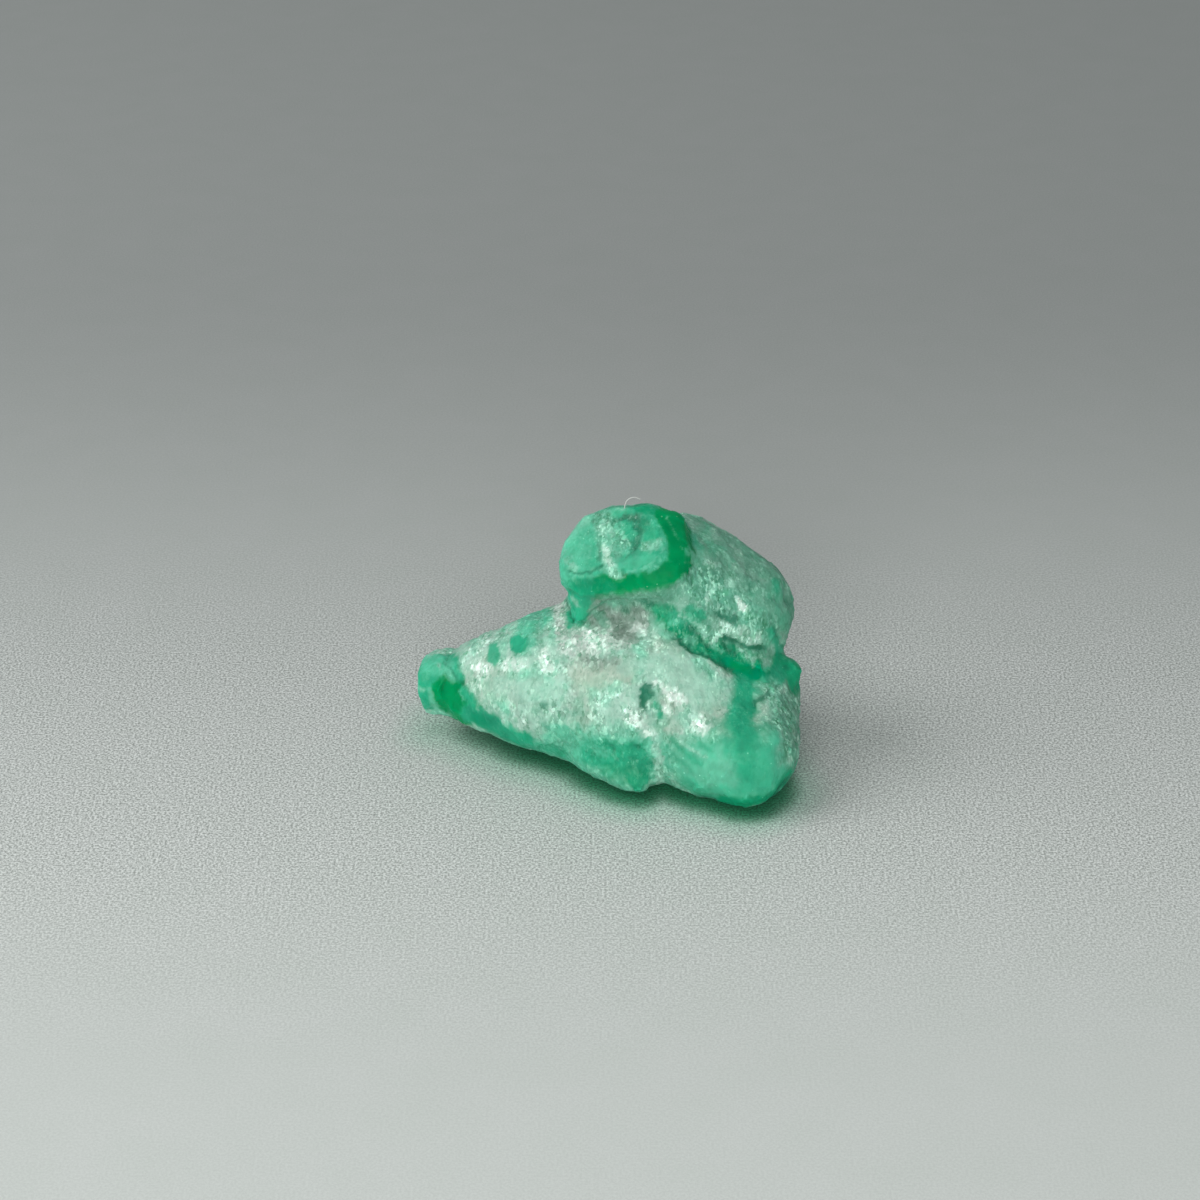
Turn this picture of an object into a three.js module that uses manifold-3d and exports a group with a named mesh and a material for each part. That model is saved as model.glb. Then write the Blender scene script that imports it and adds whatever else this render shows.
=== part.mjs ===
// A raw emerald: stubby crystals grown into one another and into pale sugary matrix, one stone.
// Millimetres, +Z up. The origin is the bottom centre of the stone's box, +X is its long way,
// and the broad pale face looks along -Y.

import * as THREE from 'three';
import { ConvexGeometry } from 'three/addons/geometries/ConvexGeometry.js';
import { mergeVertices } from 'three/addons/utils/BufferGeometryUtils.js';
import Module from 'manifold-3d';

const wasm = await Module();
wasm.setup();

// ---------------------------------------------------------------- driving dimensions

const BALL_DETAIL = 2; // facets on each ball of a rounded lobe
const BLUNT_DETAIL = 1; // facets on the worn corners of a crystal
const WANDER = 0.05; // how far a ball's surface wanders inwards, as a part of its radius
const WANDER_SEED = 11;
const MERGE_DISTANCE = 1e-4;
const FLOOR_BLOCK = 40; // the block below the stone that cuts its resting face flat

// Rounded lobes. Each is the skin stretched over a few balls, given as [x, y, z, radius].
const LOBES = {
  leftSlope: [[-3.9, 1.35, 1.75, 1.42], [-1.6, 0.75, 2.25, 2.35]],
  middle: [[-1.6, 0.75, 2.25, 2.35], [0.8, 0.2, 2.35, 2.85]],
  neck: [[0.1, 1.2, 3.9, 1.75], [0.9, 1.6, 6.0, 1.45]],
  frontFace: [[0.8, 0.2, 2.35, 2.85], [2.6, -0.6, 1.7, 2.15]],
  frontShoulder: [
    [0.9, -0.2, 2.8, 2.2], [1.4, -0.95, 4.55, 0.35], [2.75, -1.05, 4.1, 0.35], [3.75, -1.25, 3.05, 0.4],
  ],
  frontToe: [[0.75, -1.85, 0.75, 0.75], [-0.3, -0.9, 1.2, 1.2]],
  rightFoot: [[2.7, -0.9, 1.5, 2.0], [4.05, -1.95, 1.35, 1.6]],
  rightFlank: [[4.2, -1.75, 1.35, 1.52], [4.05, 0.2, 2.2, 1.75]],
  rightKnob: [[5.35, 0.1, 3.05, 0.5], [4.6, 0.3, 2.9, 0.7]],
  gallery: [[0.9, -0.1, 4.4, 0.8], [2.6, 0.0, 4.0, 1.1], [4.2, 0.0, 3.0, 1.1]],
  backFoot: [[-0.6, 1.2, 2.1, 2.2], [0.9, 1.1, 2.2, 2.45], [3.4, 1.2, 1.9, 2.05]],
  backLobe: [
    [2.1, 1.3, 5.35, 2.25], [3.85, 1.2, 4.75, 1.75], [4.15, 1.0, 4.0, 1.38], [1.2, 1.2, 3.4, 2.2],
  ],
  topSkirt: [
    [-1.2, 0.45, 6.7, 0.15], [-1.17, 0.25, 5.5, 0.12], [-0.98, 0.15, 4.95, 0.1], [0.0, -0.25, 6.0, 0.15],
    [-0.3, -0.3, 6.6, 0.15], [-0.6, 1.4, 6.6, 0.15], [-0.5, 1.2, 5.2, 0.15],
  ],
};

// Crystals. Each is a column from its free end back to its root: the centre of the end face, the
// way the column points, its turn about its own length, its rings from the end face backwards
// (each a depth and an outline, across and up, in its own plane), and the radius worn onto edges.
const TIP_END = [[-0.9, -0.3], [-0.6, -0.7], [0.4, -0.7], [0.75, 0.1], [0.4, 0.62], [-0.5, 0.5]];
const TOP_FACE = [
  [-1.85, -0.75], [-1.8, 0.2], [-1.3, 0.95], [-0.5, 1.24], [0.4, 1.22], [0.95, 0.7], [1.0, -0.2],
  [0.6, -0.7],
];
const TOP_GIRDLE = [
  [-2.04, -0.85], [-2.1, 0.2], [-1.6, 1.1], [-0.75, 1.46], [0.6, 1.54], [1.4, 1.15], [1.76, 0.1],
  [1.7, -0.75], [1.15, -1.12], [-0.4, -1.1], [-1.35, -1.15],
];
const BACK_END = [[-1.15, -0.1], [-0.6, -0.95], [0.5, -0.85], [1.0, 0.05], [0.55, 0.85], [-0.55, 0.95]];

const CRYSTALS = {
  tip: {
    end: [-5.82, 1.8, 1.7],
    points: [-0.97, 0.2, -0.05],
    turn: 0,
    rings: [[0, TIP_END], [3.6, widened(TIP_END, 1.8)]],
    blunt: 0.3,
  },
  top: {
    end: [0.35, -0.1, 7.45],
    points: [-0.33, -0.59, 0.73],
    turn: 15,
    rings: [[0, TOP_FACE], [0.5, TOP_GIRDLE], [2.3, TOP_GIRDLE]],
    blunt: 0.12,
  },
  back: {
    end: [-0.1, 3.3, 3.4],
    points: [-0.4, 0.88, 0.25],
    turn: 12,
    rings: [[0, BACK_END], [2.4, widened(BACK_END, 1.2)]],
    blunt: 0.25,
  },
};

// ---------------------------------------------------------------- skins

// Evenly spread numbers from 0 to 1, the same on each run.
function seededRandom(seed) {
  let state = seed;
  return () => {
    state = (Math.imul(state, 1664525) + 1013904223) >>> 0;
    return state / 2 ** 32;
  };
}

const random = seededRandom(WANDER_SEED);

// Only positions are left, with shared corners joined, so that the mesh is closed.
function bare(geometry) {
  geometry.deleteAttribute('normal');
  geometry.deleteAttribute('uv');
  return mergeVertices(geometry, MERGE_DISTANCE);
}

function cornersOf(geometry) {
  const place = geometry.getAttribute('position');
  return Array.from({ length: place.count }, (_, i) => new THREE.Vector3().fromBufferAttribute(place, i));
}

// The corners of a slightly lumpy ball.
function ballPoints([x, y, z, radius], detail) {
  const ball = bare(new THREE.IcosahedronGeometry(radius, detail));
  const centre = new THREE.Vector3(x, y, z);
  return cornersOf(ball).map((corner) => corner.multiplyScalar(1 - WANDER * random()).add(centre));
}

function skinOver(balls, detail) {
  return bare(new ConvexGeometry(balls.flatMap((ball) => ballPoints(ball, detail))));
}

function widened(outline, factor) {
  return outline.map(([u, v]) => [u * factor, v * factor]);
}

// A column's corners are small balls, so that its edges come out worn.
function crystalSkin({ end, points, turn, rings, blunt }) {
  const axis = new THREE.Vector3(...points).normalize();
  const across = new THREE.Vector3(0, 0, 1).cross(axis).normalize();
  across.applyAxisAngle(axis, THREE.MathUtils.degToRad(turn));
  const up = axis.clone().cross(across);
  const balls = [];
  for (const [depth, outline] of rings) {
    for (const [u, v] of outline) {
      const corner = new THREE.Vector3(...end)
        .addScaledVector(axis, -blunt - depth)
        .addScaledVector(across, u)
        .addScaledVector(up, v);
      balls.push([...corner.toArray(), blunt]);
    }
  }
  return skinOver(balls, BLUNT_DETAIL);
}

// ---------------------------------------------------------------- solids

function toSolid(skin) {
  return new wasm.Manifold(new wasm.Mesh({
    numProp: 3,
    vertProperties: new Float32Array(skin.getAttribute('position').array),
    triVerts: new Uint32Array(skin.index.array),
  }));
}

function toGeometry(solid) {
  const mesh = solid.getMesh();
  const geometry = new THREE.BufferGeometry();
  geometry.setAttribute('position', new THREE.BufferAttribute(mesh.vertProperties, 3));
  geometry.setIndex(new THREE.BufferAttribute(mesh.triVerts, 1));
  return geometry;
}

// ---------------------------------------------------------------- the stone

function growStone() {
  const masses = [
    ...Object.values(LOBES).map((balls) => skinOver(balls, BALL_DETAIL)),
    ...Object.values(CRYSTALS).map(crystalSkin),
  ];
  const grown = masses.map(toSolid).reduce((stone, mass) => stone.add(mass));
  const floor = bare(new THREE.BoxGeometry(FLOOR_BLOCK, FLOOR_BLOCK, FLOOR_BLOCK));
  floor.translate(0, 0, -FLOOR_BLOCK / 2);
  return toGeometry(grown.subtract(toSolid(floor)));
}

const stone = growStone();
stone.computeBoundingBox();
const middle = stone.boundingBox.getCenter(new THREE.Vector3());
stone.translate(-middle.x, -middle.y, -stone.boundingBox.min.z);

const emerald = new THREE.MeshStandardMaterial({ color: 0x62b894, roughness: 0.45, metalness: 0 });
const rawEmerald = new THREE.Mesh(stone, emerald);
rawEmerald.name = 'raw_emerald';

const part = new THREE.Group();
part.add(rawEmerald);

export default part;
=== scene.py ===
"""A raw emerald: crystals grown together in pale sugary matrix, on a plain pale floor."""

import math

import bpy
import numpy as np
from bpy.props import FloatProperty, FloatVectorProperty, PointerProperty
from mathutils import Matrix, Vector, noise
from mathutils.kdtree import KDTree


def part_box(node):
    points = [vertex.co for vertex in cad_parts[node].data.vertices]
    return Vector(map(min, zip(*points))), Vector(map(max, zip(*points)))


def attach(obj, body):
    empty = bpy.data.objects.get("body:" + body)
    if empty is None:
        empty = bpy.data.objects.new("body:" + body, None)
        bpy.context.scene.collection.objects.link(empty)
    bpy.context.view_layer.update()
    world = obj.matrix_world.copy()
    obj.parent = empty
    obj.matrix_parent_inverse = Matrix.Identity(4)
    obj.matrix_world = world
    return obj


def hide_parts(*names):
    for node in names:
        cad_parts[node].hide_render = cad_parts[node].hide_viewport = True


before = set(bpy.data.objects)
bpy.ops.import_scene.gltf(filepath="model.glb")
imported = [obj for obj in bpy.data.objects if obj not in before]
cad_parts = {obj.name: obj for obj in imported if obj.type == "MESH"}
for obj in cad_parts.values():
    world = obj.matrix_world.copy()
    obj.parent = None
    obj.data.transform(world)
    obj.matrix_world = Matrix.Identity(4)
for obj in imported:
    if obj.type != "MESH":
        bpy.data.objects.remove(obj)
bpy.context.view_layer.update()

bl_info = {
    "name": "Raw Emerald",
    "version": (1, 0, 0),
    "blender": (4, 5, 0),
    "location": "3D View > Sidebar > Emerald",
    "description": "A raw emerald with glassy crystals, sugary matrix and caught lint",
    "category": "Add Mesh",
}

NODE = "raw_emerald"
BODY = "root"
MM = 0.001  # the stone is sculpted with one Blender unit to the millimetre, then brought to metres

LOW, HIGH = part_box(NODE)


def spot(across, deep, high):
    """A place given as parts of the stone's box, in metres."""
    return Vector(low + part * (top - low) for low, top, part in zip(LOW, HIGH, (across, deep, high)))


# ------------------------------------------------------------------ what a user would change

TINT = {"subtype": "COLOR", "min": 0, "max": 1}


class StoneSettings(bpy.types.PropertyGroup):
    mesh_step: FloatProperty(
        name="Mesh step", description="Edge length of the stone's skin", default=0.060 * MM,
        precision=6, unit="LENGTH")
    grain: FloatProperty(
        name="Sugar grain", description="Width of one sugar grain", default=0.15 * MM,
        precision=6, unit="LENGTH")
    crumb: FloatProperty(
        name="Sugar crumb", description="Width of one crumb, a clump of grains", default=0.42 * MM,
        precision=6, unit="LENGTH")
    facet: FloatProperty(
        name="Worn facet", description="Width of one worn facet", default=0.8 * MM,
        precision=6, unit="LENGTH")
    spark: FloatVectorProperty(
        name="Spark", description="White flecks of sugar", default=(0.80, 0.92, 0.84), **TINT)
    sugar: FloatVectorProperty(
        name="Sugar", description="Pale matrix", default=(0.315, 0.535, 0.425), **TINT)
    cream: FloatVectorProperty(
        name="Cream", description="Smooth waxy matrix", default=(0.345, 0.425, 0.34), **TINT)
    dust: FloatVectorProperty(
        name="Dust", description="Grey dust lodged in hollows", default=(0.165, 0.235, 0.19), **TINT)
    mint: FloatVectorProperty(
        name="Mint", description="Pale cloudy green", default=(0.085, 0.46, 0.295), **TINT)
    moss: FloatVectorProperty(
        name="Moss", description="Grey frosted green", default=(0.125, 0.355, 0.245), **TINT)
    leaf: FloatVectorProperty(
        name="Leaf", description="Cloudy green crystal", default=(0.014, 0.345, 0.190), **TINT)
    glade: FloatVectorProperty(
        name="Glade", description="Saturated green crystal", default=(0.0, 0.29, 0.138), **TINT)
    deep: FloatVectorProperty(
        name="Deep", description="Clear deep green crystal", default=(0.0, 0.26, 0.088), **TINT)
    shade: FloatVectorProperty(
        name="Shade", description="Dark green seen into cracks", default=(0.008, 0.17, 0.09), **TINT)


class LintSettings(bpy.types.PropertyGroup):
    width: FloatProperty(
        name="Width", description="Thickness of the fibre", default=0.03 * MM, precision=6,
        unit="LENGTH")
    rise: FloatProperty(
        name="Rise", description="How far the fibre stands above the stone", default=0.42 * MM,
        precision=6, unit="LENGTH")
    colour: FloatVectorProperty(
        name="Colour", description="Colour of the fibre", default=(0.50, 0.52, 0.49), **TINT)


class StageSettings(bpy.types.PropertyGroup):
    # The floor's near and far colours paint the light falling off behind the stone: lit in front, painted
    # shade far behind.
    near_floor_lit: FloatVectorProperty(
        name="Near floor", description="Colour of the floor in front", default=(0.575, 0.600, 0.575), **TINT)
    far_floor_shaded: FloatVectorProperty(
        name="Far floor", description="Colour of the floor far behind", default=(0.290, 0.303, 0.296), **TINT)
    lens: FloatProperty(
        name="Lens", description="Focal length in millimetres", default=85.0, unit="CAMERA")
    distance: FloatProperty(
        name="Distance", description="From the camera to the stone", default=0.085, unit="LENGTH")
    elevation: FloatProperty(
        name="Elevation", description="Camera angle above the floor", default=math.radians(30),
        unit="ROTATION")


# ------------------------------------------------------------------ small tools


def deselect_all():
    if bpy.context.mode != "OBJECT":
        bpy.ops.object.mode_set(mode="OBJECT")
    bpy.ops.object.select_all(action="DESELECT")


def make_active(piece):
    deselect_all()
    piece.select_set(True)
    bpy.context.view_layer.objects.active = piece


def finish_with(piece, kind, **settings):
    """Adds a modifier and applies it."""
    modifier = piece.modifiers.new(kind.lower(), kind)
    for name, value in settings.items():
        setattr(modifier, name, value)
    make_active(piece)
    bpy.ops.object.modifier_apply(modifier=modifier.name)


def points_of(piece):
    flat = np.empty(len(piece.data.vertices) * 3, np.float32)
    piece.data.vertices.foreach_get("co", flat)
    return flat.reshape(-1, 3).astype(float)


def normals_of(piece):
    flat = np.empty(len(piece.data.vertices) * 3, np.float32)
    piece.data.vertices.foreach_get("normal", flat)
    return flat.reshape(-1, 3).astype(float)


def move_points(piece, points):
    piece.data.vertices.foreach_set("co", points.astype(np.float32).ravel())
    piece.data.update()


def keep_mask(piece, name, values):
    mask = piece.data.attributes.new(name, "FLOAT", "POINT")
    mask.data.foreach_set("value", np.clip(values, 0, 1).astype(np.float32))


def keep_colour(piece, name, colours):
    stored = piece.data.attributes.new(name, "FLOAT_COLOR", "POINT")
    solid = np.concatenate([np.clip(colours, 0, 1), np.ones((len(colours), 1))], 1)
    stored.data.foreach_set("color", solid.astype(np.float32).ravel())


def ease(value):
    value = np.clip(value, 0, 1)
    return value * value * (3 - 2 * value)


def clouds(points, size, seed, octaves=3):
    """Smooth noise from about -1 to 1, with features of the given size."""
    shift = Vector((seed * 7.13, seed * 3.71, seed * 5.37))
    return np.array([noise.fractal(Vector(p) / size + shift, 1.0, 2.0, octaves) for p in points])


# ------------------------------------------------------------------ where the colours lie

# Masses of one colour inside the stone. Each is a rod with round ends, from and to in parts of the
# stone's box, its radius and soft edge in mm, its colour, then how clear and how sugary it is.
MASSES = {
    "back lobe": ((0.66, 0.5, 0.8), (0.9, 0.5, 0.62), 2.1, 0.5, "moss", 0.15, 0.32),
    "far side": ((0.3, 0.95, 0.3), (0.8, 0.95, 0.35), 1.5, 1.0, "mint", 0.2, 0.6),
    "back crystal": ((0.46, 0.98, 0.42), (0.5, 0.85, 0.38), 1.2, 0.4, "glade", 0.8, 0.1),
    "right lobe": ((0.76, 0.08, 0.16), (0.93, 0.1, 0.2), 1.15, 0.8, "light leaf", 0.5, 0.05),
    "right side": ((0.98, 0.15, 0.25), (0.98, 0.35, 0.3), 0.8, 0.5, "moss", 0.1, 0.8),
    "right knob": ((0.98, 0.47, 0.35), (0.95, 0.47, 0.4), 0.55, 0.3, "glade", 0.6, 0.1),
    "top crystal": ((0.4, 0.45, 0.75), (0.62, 0.5, 0.88), 1.3, 0.3, "light leaf", 0.6, 0.25),
    "top skirt": ((0.41, 0.5, 0.58), (0.45, 0.45, 0.72), 0.5, 0.2, "leaf", 0.7, 0.1),
    "tip": ((0.00, 0.62, 0.22), (0.075, 0.6, 0.24), 0.9, 0.3, "leaf", 0.6, 0.1),
}

# Marks, drawn on the front as it is seen from in front and above: their way, in parts across and
# up, their half width and soft edge in mm, their colour, then how clear, how sugary, how strong.
# They are laid in this order, so a mark covers the ones above it in the list.
MARKS = {
    # The tip at the left end, and the green trail from it along the foot.
    "low green": ([(0.38, 0.2), (0.45, 0.18), (0.6, 0.18)], 0.72, 0.7, "mint", 0.3, 0.45, 0.95),
    "tip light": ([(0.03, 0.42), (0.075, 0.41)], 0.28, 0.2, "mint", 0.6, 0.15, 0.8),
    "tip heart": ([(0.074, 0.335), (0.105, 0.318), (0.12, 0.295)], 0.5, 0.15, "deep", 1.0, 0.0, 1.0),
    "tip trail": ([(0.14, 0.285), (0.192, 0.261), (0.232, 0.236), (0.284, 0.212)], 0.26, 0.2,
                  "leaf", 0.7, 0.1, 1.0),
    "trail dark": ([(0.155, 0.276), (0.175, 0.262)], 0.14, 0.2, "glade", 0.9, 0.0, 0.8),
    "trail shade": ([(0.145, 0.285), (0.192, 0.261), (0.232, 0.236)], 0.22, 0.2, "dark leaf", 0.8, 0.0, 0.3),
    "tip beside": ([(0.13, 0.35), (0.15, 0.31)], 0.14, 0.12, "leaf", 0.6, 0.2, 0.9),
    "tip lump": ([(0.08, 0.392), (0.094, 0.378)], 0.09, 0.12, "light mint", 0.5, 0.5, 0.5),
    "trail end": ([(0.3, 0.2), (0.38, 0.18)], 0.16, 0.2, "leaf", 0.6, 0.2, 0.8),
    "tip rim": ([(0.033, 0.349), (0.04, 0.317), (0.05, 0.285)], 0.1, 0.1, "light mint", 0.6, 0.2, 0.7),
    "tip pale rim": ([(0.004, 0.375), (0.014, 0.345)], 0.04, 0.08, "pale", 0.4, 0.4, 0.5),
    "tip crack": ([(0.07, 0.425), (0.097, 0.397), (0.119, 0.361)], 0.03, 0.06, "shade", 0.6, 0.0, 0.6),
    "tip sparks": ([(0.113, 0.345), (0.12, 0.33)], 0.03, 0.08, "mint", 0.2, 1.0, 0.6),
    "tip sparks too": ([(0.056, 0.418), (0.066, 0.405)], 0.04, 0.06, "pale", 0.2, 1.0, 0.6),
    # The broad pale face, its dots, waxy patches and blotch.
    "low dot": ([(0.332, 0.318)], 0.13, 0.06, "dark leaf", 0.3, 0.2, 0.8),
    "left white": ([(0.155, 0.42), (0.175, 0.405)], 0.2, 0.25, "spark", 0.0, 1.0, 0.7),
    "dot white": ([(0.24, 0.425), (0.275, 0.42)], 0.2, 0.25, "spark", 0.0, 1.0, 0.5),
    "hump white": ([(0.335, 0.45), (0.345, 0.41)], 0.14, 0.2, "spark", 0.0, 1.0, 0.6),
    "hump green": ([(0.28, 0.49), (0.295, 0.54), (0.33, 0.56)], 0.34, 0.3, "mint", 0.3, 0.5, 0.95),
    "left smooth": ([(0.22, 0.36), (0.34, 0.36)], 0.36, 0.4, "sugar", 0.2, 0.15, 0.7),
    "big dot": ([(0.262, 0.484), (0.268, 0.486)], 0.24, 0.05, "leaf", 0.6, 0.0, 1.0),
    "small dot": ([(0.205, 0.466), (0.203, 0.44)], 0.18, 0.06, "leaf", 0.5, 0.0, 0.9),
    "wax": ([(0.44, 0.385), (0.54, 0.405)], 0.36, 0.45, "cream", 0.2, 0.1, 0.75),
    # The waxy marks are laid in lighter copies of sugar: partly paler wax, partly painted light lifting the
    # middle and right of the body.
    "wax too": ([(0.54, 0.418), (0.604, 0.434)], 0.22, 0.25, "moonlit", 0.2, 0.05, 0.7),
    "right wax": ([(0.65, 0.42), (0.74, 0.35)], 0.5, 0.4, "veil", 0.2, 0.15, 0.85),
    "blotch white": ([(0.617, 0.375), (0.635, 0.365)], 0.1, 0.12, "spark", 0.0, 1.0, 0.8),
    "mid white": ([(0.655, 0.345), (0.68, 0.33)], 0.15, 0.22, "spark", 0.0, 1.0, 0.8),
    "mid white too": ([(0.64, 0.31), (0.655, 0.295)], 0.1, 0.18, "spark", 0.0, 1.0, 0.6),
    "low white": ([(0.555, 0.285), (0.575, 0.268)], 0.14, 0.2, "spark", 0.0, 1.0, 0.7),
    "low white too": ([(0.595, 0.245), (0.615, 0.23)], 0.12, 0.18, "spark", 0.0, 1.0, 0.7),
    "right white": ([(0.72, 0.265), (0.74, 0.25)], 0.14, 0.2, "spark", 0.0, 1.0, 0.7),
    "blotch": ([(0.59, 0.362), (0.602, 0.35), (0.592, 0.338)], 0.15, 0.04, "dark leaf", 0.3, 0.2, 1.0),
    "blotch arm": ([(0.603, 0.35), (0.614, 0.347)], 0.06, 0.06, "shade", 0.3, 0.1, 0.6),
    "blotch foot": ([(0.592, 0.332), (0.584, 0.318)], 0.1, 0.04, "shade", 0.3, 0.1, 1.0),
    "blotch tail": ([(0.616, 0.318), (0.628, 0.29)], 0.1, 0.08, "leaf", 0.3, 0.4, 0.9),
    # The toe at the foot, and the seam beside it.
    "toe": ([(0.46, 0.18), (0.565, 0.175), (0.575, 0.12)], 0.4, 0.2, "leaf", 0.6, 0.25, 0.95),
    "toe low": ([(0.5, 0.135), (0.57, 0.11)], 0.25, 0.2, "glade", 0.6, 0.1, 0.6),
    "toe veil": ([(0.45, 0.2), (0.49, 0.18)], 0.14, 0.15, "mint", 0.4, 0.4, 0.7),
    "toe crack": ([(0.505, 0.2), (0.525, 0.165)], 0.04, 0.08, "shade", 0.4, 0.2, 0.6),
    "toe crack too": ([(0.555, 0.215), (0.575, 0.195)], 0.05, 0.08, "shade", 0.4, 0.2, 0.5),
    "seam": ([(0.617, 0.21), (0.627, 0.15), (0.632, 0.09)], 0.13, 0.12, "pale", 0.1, 0.8, 0.9),
    # The rounded lobes and the flank on the right.
    "belly": ([(0.72, 0.16), (0.78, 0.13)], 0.55, 0.5, "light mint", 0.5, 0.05, 0.7),
    "belly fold": ([(0.655, 0.23), (0.68, 0.19), (0.73, 0.15)], 0.1, 0.15, "leaf", 0.5, 0.2, 0.7),
    "belly ridge": ([(0.665, 0.24), (0.7, 0.2), (0.75, 0.165)], 0.04, 0.06, "pale", 0.3, 0.6, 0.7),
    "belly veil": ([(0.7, 0.245), (0.735, 0.205), (0.755, 0.19)], 0.06, 0.1, "leaf", 0.4, 0.2, 0.6),
    "belly veil too": ([(0.645, 0.2), (0.67, 0.165), (0.71, 0.13)], 0.06, 0.12, "leaf", 0.4, 0.2, 0.5),
    "lobe veil": ([(0.77, 0.2), (0.79, 0.15)], 0.12, 0.25, "light mint", 0.4, 0.1, 0.5),
    "lobe green": ([(0.815, 0.265), (0.87, 0.255)], 0.28, 0.3, "leaf", 0.6, 0.1, 0.65),
    "lobe streak": ([(0.835, 0.24), (0.845, 0.13)], 0.26, 0.4, "leaf", 0.6, 0.05, 0.9),
    "lobe pale": ([(0.92, 0.22), (0.93, 0.15)], 0.26, 0.3, "mint", 0.6, 0.05, 0.6),
    "lobe rim": ([(0.79, 0.05), (0.91, 0.06), (0.955, 0.12)], 0.17, 0.2, "glade", 0.7, 0.0, 0.9),
    "lobe foot": ([(0.91, 0.045), (0.97, 0.115)], 0.1, 0.1, "shade", 0.7, 0.0, 0.8),
    "flank green": ([(0.85, 0.405), (0.85, 0.35), (0.835, 0.29)], 0.42, 0.35, "leaf", 0.6, 0.15, 1.0),
    "flank to knob": ([(0.87, 0.4), (0.93, 0.39)], 0.3, 0.25, "leaf", 0.6, 0.1, 0.9),
    "right blotch": ([(0.875, 0.325), (0.905, 0.34)], 0.09, 0.06, "shade", 0.3, 0.1, 0.9),
    "right flecks": ([(0.92, 0.36), (0.93, 0.3), (0.95, 0.26)], 0.22, 0.25, "light moss", 0.1, 1.0, 0.7),
    # The green hollow between the front and the back lobe, its lip, and the knob at its end.
    "gallery": ([(0.64, 0.56), (0.685, 0.53), (0.72, 0.49), (0.79, 0.455), (0.873, 0.425)],
                0.36, 0.14, "glade", 0.6, 0.55, 1.0),
    "gallery spots": ([(0.6, 0.585), (0.64, 0.575), (0.66, 0.555)], 0.16, 0.12, "glade", 0.4, 0.35, 0.95),
    "gallery upper": ([(0.665, 0.56), (0.7, 0.545), (0.735, 0.52)], 0.18, 0.14, "leaf", 0.5, 0.35, 0.85),
    "gallery dark": ([(0.735, 0.475), (0.77, 0.462), (0.81, 0.44)], 0.16, 0.12, "glade", 0.8, 0.2, 0.9),
    "gallery deep": ([(0.806, 0.427), (0.847, 0.414), (0.878, 0.404)], 0.26, 0.12, "glade", 1.0, 0.0, 1.0),
    "gallery heart": ([(0.82, 0.425), (0.845, 0.412)], 0.14, 0.15, "deep", 1.0, 0.0, 0.8),
    "gallery lip": ([(0.667, 0.499), (0.71, 0.466), (0.766, 0.444), (0.816, 0.408)], 0.05, 0.06,
                    "shade", 0.5, 0.0, 0.9),
    "gallery glow": ([(0.698, 0.499), (0.716, 0.491)], 0.1, 0.12, "light mint", 0.3, 0.8, 0.7),
    "gallery glow too": ([(0.66, 0.545), (0.69, 0.55)], 0.09, 0.12, "mint", 0.3, 0.8, 0.7),
    "gallery streak": ([(0.679, 0.562), (0.707, 0.546), (0.741, 0.527)], 0.03, 0.05,
                       "pale", 0.5, 0.3, 0.9),
    "gallery lumps": ([(0.738, 0.518), (0.762, 0.502), (0.777, 0.51)], 0.14, 0.15, "pale", 0.2, 1.0, 0.9),
    "gallery gaps": ([(0.705, 0.53), (0.722, 0.51)], 0.06, 0.08, "shade", 0.3, 0.4, 0.8),
    "gallery gaps too": ([(0.79, 0.488), (0.805, 0.47), (0.825, 0.455)], 0.06, 0.08, "shade", 0.3, 0.4, 0.8),
    "gallery cuts": ([(0.73, 0.497), (0.75, 0.478)], 0.05, 0.08, "shade", 0.3, 0.3, 0.8),
    "gallery lights": ([(0.765, 0.478), (0.785, 0.462)], 0.06, 0.08, "light mint", 0.3, 0.8, 0.7),
    "gallery crumbs": ([(0.84, 0.465), (0.865, 0.438), (0.887, 0.451)], 0.09, 0.1, "pale", 0.2, 1.0, 0.7),
    "crumb dark": ([(0.853, 0.462)], 0.07, 0.06, "shade", 0.4, 0.2, 0.9),
    "upper leaf": ([(0.7, 0.58), (0.735, 0.56)], 0.16, 0.12, "leaf", 0.5, 0.4, 0.9),
    "upper streak": ([(0.722, 0.592), (0.745, 0.57), (0.768, 0.54)], 0.03, 0.05, "pale", 0.5, 0.3, 0.9),
    "lip flecks": ([(0.756, 0.433), (0.807, 0.397)], 0.08, 0.15, "ash", 0.0, 0.8, 0.6),
    "knob heart": ([(0.962, 0.414)], 0.11, 0.12, "shade", 0.8, 0.0, 0.8),
    # The frosty back lobe.
    "back left": ([(0.72, 0.71), (0.74, 0.64)], 0.35, 0.4, "veil", 0.1, 0.35, 0.25),
    "back flecks": ([(0.72, 0.65), (0.8, 0.6), (0.88, 0.53)], 0.5, 0.4, "light moss", 0.1, 1.0, 0.85),
    "back white": ([(0.791, 0.636), (0.819, 0.663)], 0.12, 0.2, "pale", 0.1, 1.0, 0.7),
    "back white too": ([(0.829, 0.6), (0.845, 0.583)], 0.09, 0.12, "spark", 0.1, 1.0, 0.7),
    "back white left": ([(0.753, 0.603), (0.765, 0.631)], 0.12, 0.2, "pale", 0.1, 1.0, 0.8),
    "back crest": ([(0.745, 0.71), (0.76, 0.69)], 0.1, 0.2, "pale", 0.1, 1.0, 0.5),
    "back shadows": ([(0.76, 0.68), (0.78, 0.66)], 0.06, 0.1, "dark leaf", 0.2, 0.5, 0.5),
    "back shadows too": ([(0.86, 0.66), (0.865, 0.62)], 0.07, 0.1, "dark leaf", 0.2, 0.5, 0.6),
    "back shelf": ([(0.789, 0.527), (0.828, 0.514), (0.873, 0.494)], 0.21, 0.12, "veil", 0.1, 1.0, 0.9),
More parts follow.
